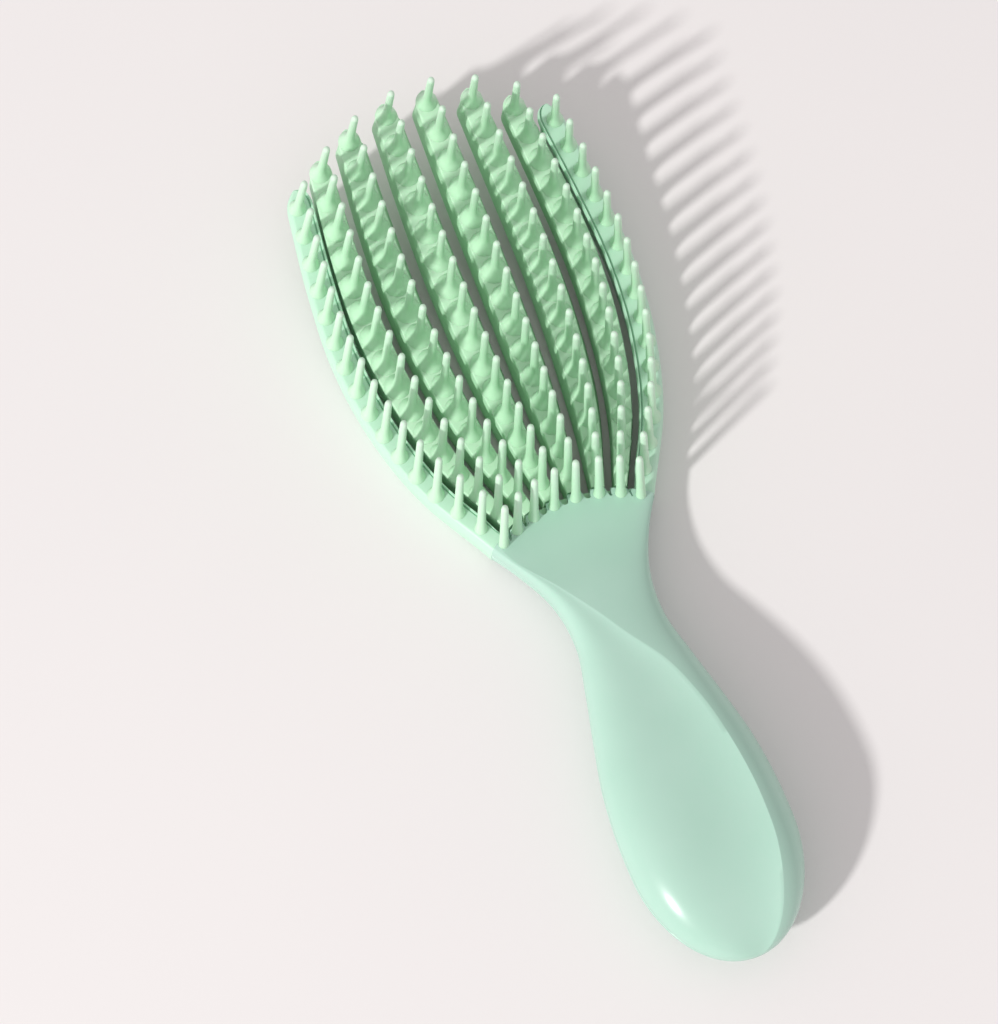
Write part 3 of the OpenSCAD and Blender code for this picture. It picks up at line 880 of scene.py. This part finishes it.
@dataclass
class Rib:
    """One springy rib: a spine with its bead, and the strip of pins on it."""

    head: HeadPlan
    number: int
    row: int
    side: Side
    pin_maker: PinMaker
    root_gap: float = 0.3
    root_blend: float = 12.0
    root_length: float = 1.0
    edge_round: float = 0.45
    under_round: float = 1.3
    base_splay: float = 0.8
    rail_side_splay: float = 0.2
    splay_length: float = 25.0
    splay_power: float = 1.4
    seam: float = 0.12
    round_share: float = 0.8
    bead_radius: float = 1.4
    neck_half: float = 0.6
    bead_behind: float = 1.6
    bead_side_gap: float = 0.1
    neck_sink: float = 0.6
    bead_ends: tuple[tuple[float, float], ...] = ((-1, 0.86), (-0.94, 1.0), (0.94, 1.0), (1, 0.86))
    bead_steps: int = 18
    top_steps: int = 4
    wall_steps: int = 4
    under_steps: int = 6
    steps: int = 56

    @property
    def body(self) -> str:
        """CAD body of the rib."""
        return f"rib_{self.number}"

    def start_u(self) -> float:
        """Length at which the rib leaves the throat."""
        return self.head.first_u(self.row) + self.head.border_ahead + self.root_gap

    def ring(self, u: float, half_section: Callable[[float, float], Section]) -> Ring:
        """One ring of the rib.

        Args:
            u: length along the face.
            half_section: right half of the section for a half width and a splay, from top to bottom.

        Returns:
            The ring's points.
        """
        plan, row = self.head, self.row
        past_root = u - self.start_u()
        splay = self.rail_side_splay if row == plan.edge - 1 else self.base_splay
        splay *= min(past_root / self.splay_length, 1) * plan.rounding(u, plan.rib_end_u(row), plan.rib_end_round)
        outline = half_section(plan.rib_half(row, u), splay)
        outline += [(-across, depth) for across, depth in reversed(outline)]
        return plan.ring(self.side, row, u, faded(past_root, self.root_blend), outline,
                         lambda at, _: plan.rib_half(row, at))

    def strip_section(self, half: float, _: float) -> Section:
        """Right half of the strip's section."""
        half = max(half - self.head.strip_step, 0)
        top, thick = min(self.edge_round, half * self.round_share), self.head.strip_thickness
        bend = [(half - top * (1 - math.sin(a)), top * (1 - math.cos(a))) for a in quarter(self.top_steps)]
        return [(0.0, 0.0), *bend, (half, thick - self.seam), (max(half - self.seam, 0), thick)]

    def spine_section(self, half: float, splay: float) -> Section:
        """Right half of the spine's section, which splays out towards its base."""
        thick, deep = self.head.strip_thickness, self.head.rib_depth
        top, base = max(half - self.head.strip_step, 0), half + splay
        low = min(self.under_round, half * self.round_share)
        shares = [k / self.wall_steps for k in range(self.wall_steps)]
        wall = [(top + (base - top) * share ** self.splay_power, thick + self.seam + (deep - low - thick) * share)
                for share in shares]
        bend = [(base - low * (1 - math.cos(a)), deep - low * (1 - math.sin(a))) for a in quarter(self.under_steps)]
        return [(max(top - self.seam, 0), thick), *wall, *bend, (0.0, deep)]

    def bead(self) -> Form:
        """Neck and bead that the rib turns on, as one lofted form across the brush."""
        plan, radius, neck = self.head, self.bead_radius, self.neck_half
        half = plan.rib_half(self.row, plan.first_u(self.row)) - self.bead_side_gap
        reach = self.bead_behind + plan.border_ahead + self.root_gap + self.neck_sink
        axis_y, axis_z = plan.face_point(plan.first_u(self.row) - self.bead_behind, plan.rail_depth / 2)
        turn = Matrix.Rotation(plan.face_slope(0), 2)
        opening = math.asin(neck / radius)
        angles = [opening + 2 * (math.pi - opening) * k / self.bead_steps for k in range(self.bead_steps + 1)]
        outline = [(radius * math.cos(a), radius * math.sin(a)) for a in angles] + [(reach, -neck), (reach, neck)]
        rings = []
        for share, keep in self.bead_ends:
            x = plan.row_x(self.row, 0) + share * half
            places = [turn @ Vector(p) * keep for p in outline]
            rings.append([plan.placed(self.side.value * x, axis_y + p.x, axis_z + p.y) for p in places])
        return lofted(rings)

    def build(self) -> None:
        """Builds the spine and the strip with its pins."""
        plan = self.head
        places = crowded(self.start_u(), plan.rib_end_u(self.row), self.steps, self.root_length, plan.rib_end_round)
        for kind, section, finish, slot, more in (
                ("pin_strip", self.strip_section, PIN_FINISH, "pin_plastic", []),
                ("rib_spine", self.spine_section, RIB_FINISH, "rib_plastic", [self.bead()])):
            form = joined([lofted([self.ring(u, section) for u in places]), *more])
            dressed(solid(f"{kind}_{self.number}_moulding", *form), finish, self.body, slot, f"{kind}_{self.number}")
        pins = PinRows(plan).pins(self.row, self.side, 1, plan.pins_per_row - 1)
        piece = self.pin_maker.grow(f"pins_{self.number}", pins, PIN_FINISH)
        dressed(piece, PIN_FINISH, self.body, "pin_plastic", f"pin_strip_{self.number}")


# Rails


@dataclass
class EdgeRail:
    """Stiff outer rail of the head, with a rounded flank, a thin inner lip and its own pins."""

    head: HeadPlan
    side: Side
    pin_maker: PinMaker
    handle: HandlePlan
    top_round: tuple[float, float] = (1.5, 2.8)
    low_round: tuple[float, float] = (2.1, 5.0)
    groove_width: float = 0.15
    groove_depth: float = 0.4
    lip_width: float = 0.65
    lip_height: float = 0.45
    lip_depth: float = 1.0
    lip_slope: float = 0.5
    lip_bevels: tuple[float, float] = (0.2, 0.15)
    groove_taper: float = 0.08
    lip_fade: float = 6.0
    lip_full_width: float = 2.0
    edge_round: float = 0.25
    edge_share: float = 0.3
    round_shares: tuple[float, float] = (0.9, 0.8)
    root_blend: float = 14.0
    root_length: float = 1.0
    top_steps: int = 9
    low_steps: int = 7
    steps: int = 84

    @property
    def name(self) -> str:
        """CAD node of the rail."""
        return f"{self.side.name.lower()}_edge_rail"

    def start_u(self) -> float:
        """Length at which the rail leaves the handle."""
        return self.head.first_u(self.head.edge) + self.head.border_ahead

    def inner_edge(self, inner: float, grown: float) -> Section:
        """Inner edge of the rail's section: a thin lip and the groove beside it.

        Args:
            inner: width inside the pins, up to the groove.
            grown: share of its size to which the lip has grown.

        Returns:
            Distances outwards and depths.
        """
        edge = min(self.edge_round, inner * self.edge_share)
        groove, lip = inner + self.groove_width * grown, inner + (self.groove_width + self.lip_width) * grown
        floor, crest = edge + self.groove_depth * grown, edge * (1 - grown) - self.lip_height * grown
        taper = self.groove_taper * grown
        return [(-inner, edge + (self.lip_depth + self.lip_slope) * grown), (-lip, edge + self.lip_depth * grown),
                (-lip, edge), (-lip + self.lip_bevels[0] * grown, crest), (-groove - self.lip_bevels[1] * grown, crest),
                (-groove, edge), (-groove + taper, floor), (-inner - taper, floor), (-inner, edge),
                (-inner + edge, 0.0)]

    def flank(self, outer: float, top: float, low: float) -> tuple[Section, Section]:
        """Outer flank of the section, from the top down to its widest place, and from there to the base."""
        over = [(outer - top * (1 - math.sin(a)), self.top_round[1] * (1 - math.cos(a)))
                for a in quarter(self.top_steps)]
        under = [(outer - low * (1 - math.cos(a)), self.head.rail_depth - self.low_round[1] * (1 - math.sin(a)))
                 for a in quarter(self.low_steps)]
        return over, under

    def section(self, outer: float, inner: float, past_root: float) -> Section:
        """Whole section of the rail, from the inner lip over the outer flank and round.

        Args:
            outer: width outside the pins.
            inner: width inside the pins.
            past_root: length past the handle.

        Returns:
            Distances outwards and depths.
        """
        deep, edge = self.head.rail_depth, min(self.edge_round, inner * self.edge_share)
        grown = min(max(past_root, 0) / self.lip_fade, 1.0) * min(inner / self.lip_full_width, 1.0)
        over, under = self.flank(outer, min(self.top_round[0], outer * self.round_shares[0]),
                                 min(self.low_round[0], outer * self.round_shares[1]))
        return [*self.inner_edge(inner, grown), *over, *under, (-inner + edge, deep), (-inner, deep - edge)]

    def root_outline(self) -> Ring:
        """Outline of the handle's mouth where the rail grows out of it, in the order of the section."""
        plan, handle, side = self.head, self.handle, self.side.value
        start, base = self.start_u(), handle.mouth_y
        centre = plan.row_x(plan.edge, plan.u_share(plan.edge, start))
        half = handle.half_at(base)
        flank_start = len(self.inner_edge(1.0, 0.0))
        flank_middle = flank_start + self.top_steps + 1
        flank_end = flank_middle + self.low_steps + 1
        outline = []
        shift = half - centre - plan.outer_half(start)
        for k, (across, depth) in enumerate(self.section(plan.outer_half(start), plan.inner_half(start), 0.0)):
            on_flank = flank_start <= k < flank_end
            rear = k >= flank_middle
            x = min(centre + across + (shift if on_flank else 0.0), half)
            y, share = handle.bow_at(base, x), side * x / half
            z = handle.rear_z(base, share) if rear else handle.front_z(base, share)
            if not on_flank:
                z += plan.rail_depth - depth if rear else -depth
            outline.append(plan.placed(side * x, y, z))
        return outline

    def own_ring(self, u: float) -> Ring:
        """One ring of the rail, before it is blended into the handle."""
        plan, past_root = self.head, u - self.start_u()
        outline = self.section(plan.outer_half(u), plan.inner_half(u), past_root)
        return plan.ring(self.side, plan.edge, u, faded(past_root, self.root_blend), outline,
                         lambda at, across: plan.outer_half(at) if across > 0 else plan.inner_half(at))

    def rings(self) -> list[Ring]:
        """Rings of the rail; near the root they pass into the outline of the handle."""
        plan = self.head
        places = crowded(self.start_u(), plan.rail_end_u, self.steps, self.root_length, plan.rail_end_round)
        own = [self.own_ring(u) for u in places]
        steps = [there - here for there, here in zip(self.root_outline(), own[0])]
        fades = [faded(u - self.start_u(), self.root_blend) for u in places]
        return [[point + step * fade for point, step in zip(ring, steps)] for fade, ring in zip(fades, own)]

    def build(self) -> None:
        """Builds the rail and its pins."""
        plan = self.head
        piece = solid(f"{self.name}_moulding", *lofted(self.rings()))
        dressed(piece, RAIL_FINISH, "handle", "shell_plastic", self.name)
        pins = PinRows(plan).pins(plan.edge, self.side, 1, plan.pins_per_row - 1)
        piece = self.pin_maker.grow(f"{self.side.name.lower()}_rail_pins", pins, PIN_FINISH)
        dressed(piece, PIN_FINISH, "handle", "shell_plastic", self.name)


# Handle


@dataclass
class Handle:
    """Hollow handle of two shells, with the throat and the root pins on the front one."""

    head: HeadPlan
    plan: HandlePlan
    pin_maker: PinMaker
    steps: SectionSteps = SectionSteps()
    body_rings: int = 84
    end_rings: int = 22
    ring_crowding: float = 1.15
    mouth_round: float = 0.15
    seam_depth: float = 0.22

    def front_section(self, y: float) -> Section:
        """Section of the pin side, from the right flank over crease and dish to the left flank."""
        crease = self.plan.crease(y)
        rolled = [math.cos(a) for a in quarter(self.steps.band)]
        even = [k / self.steps.even_band for k in range(1, self.steps.even_band)]
        band = [(crease + (1 - crease) * w, self.plan.band_share(y, w)) for w in sorted(rolled + even, reverse=True)]
        dish = [(crease - (1 + crease) * w, self.plan.dish_share(y, w))
                for w in (math.sin(a) for a in quarter(self.steps.dish)[1:])]
        return band + dish

    def rear_section(self, y: float) -> Section:
        """Section of the back, from the right flank round to the left flank; it is finest at the parting line."""
        power, flank, flat = self.plan.rear_fullness(y), self.steps.rear_flank, self.steps.rear_flat
        knee = 0.5 ** (1 / power)
        rise = [knee * (k / flank) ** self.steps.rear_crowding for k in range(flank)]
        run = [knee * (1 - k / flat) for k in range(flat + 1)]
        half = [((1 - z ** power) ** (1 / power), z) for z in rise]
        half += [(x, (1 - x ** power) ** (1 / power)) for x in run]
        return [(x, -z) for x, z in half] + [(-x, -z) for x, z in half[-2::-1]]

    def bases(self, inset: float) -> list[tuple[float, float]]:
        """Place and end angle of each ring, from the throat to the rounded end.

        Args:
            inset: distance inside the outer surface.

        Returns:
            Y of the ring on the middle line, and its angle round the end.
        """
        start = self.plan.mouth_y
        end = self.plan.end_length - self.head.handle_length
        rings = [(start, 0.0)]
        past_lip = start - self.mouth_round
        rings += [(past_lip + (end - past_lip) * (k / self.body_rings) ** self.ring_crowding, 0.0)
                  for k in range(self.body_rings + 1)]
        return rings + [(end - (self.plan.end_length - inset) * math.sin(angle), angle)
                        for angle in quarter(self.end_rings)[1:]]

    def ring_y(self, shell: Shell, base: float, x: float) -> float:
        """Y of a ring at x: bowed along the border, and cut back where a slot ends."""
        y = self.plan.bow_at(base, x)
        if shell is Shell.FRONT:
            y -= self.plan.slot_end(x) * faded(self.plan.mouth_y - base, self.plan.slot_fade)
        return y

    def ring(self, shell: Shell, base: float, angle: float, inset: float, seam: float) -> Ring:
        """One ring of a sheet of a shell.

        Args:
            shell: front or rear.
            base: Y of the ring on the middle line.
            angle: angle of the ring round the end.
            inset: distance inside the outer surface.
            seam: chamfer at the parting line.

        Returns:
            The ring's points.
        """
        rear = shell is Shell.REAR
        squeeze = math.cos(angle)
        half = self.plan.half_at(base)
        section = self.rear_section(base) if rear else self.front_section(base)
        ring = []
        for k, (across, share) in enumerate(section):
            x = across * (half - inset) * squeeze
            y = self.ring_y(shell, base, x)
            if k in (0, len(section) - 1):
                x -= math.copysign(min(seam * squeeze, abs(x)), x)
                y += seam * math.sin(angle)
            low = self.plan.parting_z(y) - (self.plan.parting_gap if rear else 0)
            full = low - self.plan.under_z(y) if rear else self.plan.top_z(y) - low
            ring.append(self.head.placed(x, y, max(low + share * (full - inset) * squeeze, inset)))
        return ring

    def shell(self, shell: Shell) -> bpy.types.Object:
        """Lofts one shell with its wall.

        Args:
            shell: front or rear.

        Returns:
            The piece.
        """
        outer = [self.ring(shell, base, angle, self.mouth_round if k == 0 else 0.0, self.seam_depth)
                 for k, (base, angle) in enumerate(self.bases(0.0))]
        inner = [self.ring(shell, base, angle, self.plan.wall, 0.0)
                 for base, angle in self.bases(self.plan.wall)]
        n, count = len(outer[0]), len(outer)
        points = [p for ring in outer + inner for p in ring]
        skin = n * count
        faces = []
        for r in range(count - 1):
            for j in range(n - 1):
                a = r * n + j
                faces.append([a, a + 1, a + n + 1, a + n])
                faces.append([skin + a, skin + a + n, skin + a + n + 1, skin + a + 1])
            for a in (r * n, r * n + n - 1):
                faces.append([a, a + n, skin + a + n, skin + a])
        faces += [[j, j + 1, skin + j + 1, skin + j] for j in range(n - 1)]
        return solid(f"{shell.value}_moulding", points, faces)

    def build(self) -> None:
        """Builds both shells and the last pin of every row."""
        for shell in Shell:
            dressed(self.shell(shell), HANDLE_FINISH, "handle", "shell_plastic", shell.value)
        rows = PinRows(self.head)
        pins = [pin for side in Side for row in range(self.head.edge + 1) for pin in rows.pins(row, side, 0, 0)]
        piece = self.pin_maker.grow("throat_pins", pins, PIN_FINISH)
        dressed(piece, PIN_FINISH, "handle", "shell_plastic", Shell.FRONT.value)
        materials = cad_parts["root_socket_bar"].data.materials
        if not materials:
            materials.append(None)
        for k in range(len(materials)):
            materials[k] = RIB_FINISH.material()


# Stage


@dataclass
class Studio:
    """Pale floor, soft studio light and the camera at the photograph's angle."""

    floor_reach: float = 3.0
    key_from: tuple[float, float, float] = (-0.777, -0.302, 0.56)
    key_distance: float = 3.6
    key_size: float = 0.26
    key_watts: float = 94.0
    key_tint: tuple[float, float, float] = (1.0, 0.98, 0.955)
    sky_tint: str = "#fff9f9"
    sky_strength: float = 0.64
    camera_at: tuple[float, float, float] = (-86.05, -178.55, 556.17)
    right: tuple[float, float, float] = (0.93242, -0.36138, -0.00149)
    down: tuple[float, float, float] = (-0.3403, -0.87662, -0.3402)
    forward: tuple[float, float, float] = (0.12162, 0.31772, -0.94035)
    focal_pixels: float = 2500.0
    picture_height: float = 1024.0

    def build(self) -> None:
        """Builds floor, lights, world and camera."""
        self.floor()
        self.lights()
        self.camera()

    def floor(self) -> None:
        """Lays the floor under the brush."""
        mesh = bpy.data.meshes.new("floor")
        corners = [(x * self.floor_reach, y * self.floor_reach, 0) for x, y in ((-1, -1), (1, -1), (1, 1), (-1, 1))]
        mesh.from_pydata(corners, [], [(0, 1, 2, 3)])
        mesh.materials.append(PaintedFloor().material())
        placed_object("floor", mesh)

    def lights(self) -> None:
        """Sets a soft key lamp at the lower left of the picture and an even sky."""
        lamp = bpy.data.lights.new("key_softbox", "AREA")
        lamp.shape = "DISK"
        lamp.size = self.key_size
        lamp.energy = self.key_watts
        lamp.color = self.key_tint
        key = placed_object("key_softbox", lamp)
        place = Vector(self.key_from).normalized() * self.key_distance
        key.location = place
        key.rotation_euler = place.to_track_quat("Z", "Y").to_euler()
        world = bpy.data.worlds.new("soft_sky")
        world.use_nodes = True
        tree = world.node_tree
        tree.nodes.clear()
        sky = add_node(tree, "ShaderNodeBackground", {}, {
            "Color": linear(self.sky_tint), "Strength": self.sky_strength})
        add_node(tree, "ShaderNodeOutputWorld", {}, {"Surface": sky.outputs["Background"]})
        bpy.context.scene.world = world
        bpy.context.scene.view_settings.view_transform = "Standard"

    def camera(self) -> None:
        """Sets the camera where the photograph was taken from."""
        lens = bpy.data.cameras.new("photo_camera")
        lens.sensor_fit = "VERTICAL"
        lens.sensor_height = 36.0
        lens.lens = self.focal_pixels / self.picture_height * lens.sensor_height
        lens.clip_start = 0.01
        camera = placed_object("photo_camera", lens)
        columns = (Vector(self.right), -Vector(self.down), -Vector(self.forward))
        turn = Matrix(columns).transposed().to_4x4()
        camera.matrix_world = Matrix.Translation(Vector(self.camera_at) * MM) @ turn
        bpy.context.scene.camera = camera


def main() -> None:
    """Builds the brush and its stage."""
    logging.basicConfig(level=logging.INFO, format="%(name)s %(message)s")
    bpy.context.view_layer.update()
    head = HeadPlan()
    pin_maker = PinMaker()
    handle = HandlePlan(head)
    Handle(head, handle, pin_maker).build()
    for side in Side:
        EdgeRail(head, side, pin_maker, handle).build()
    ribs = [(row, Side.LEFT) for row in reversed(range(head.edge))] + [(row, Side.RIGHT) for row in range(head.edge)]
    for number, (row, side) in enumerate(ribs, 1):
        Rib(head, number, row, side, pin_maker).build()
    Studio().build()


if __name__ == "__main__":
    main()
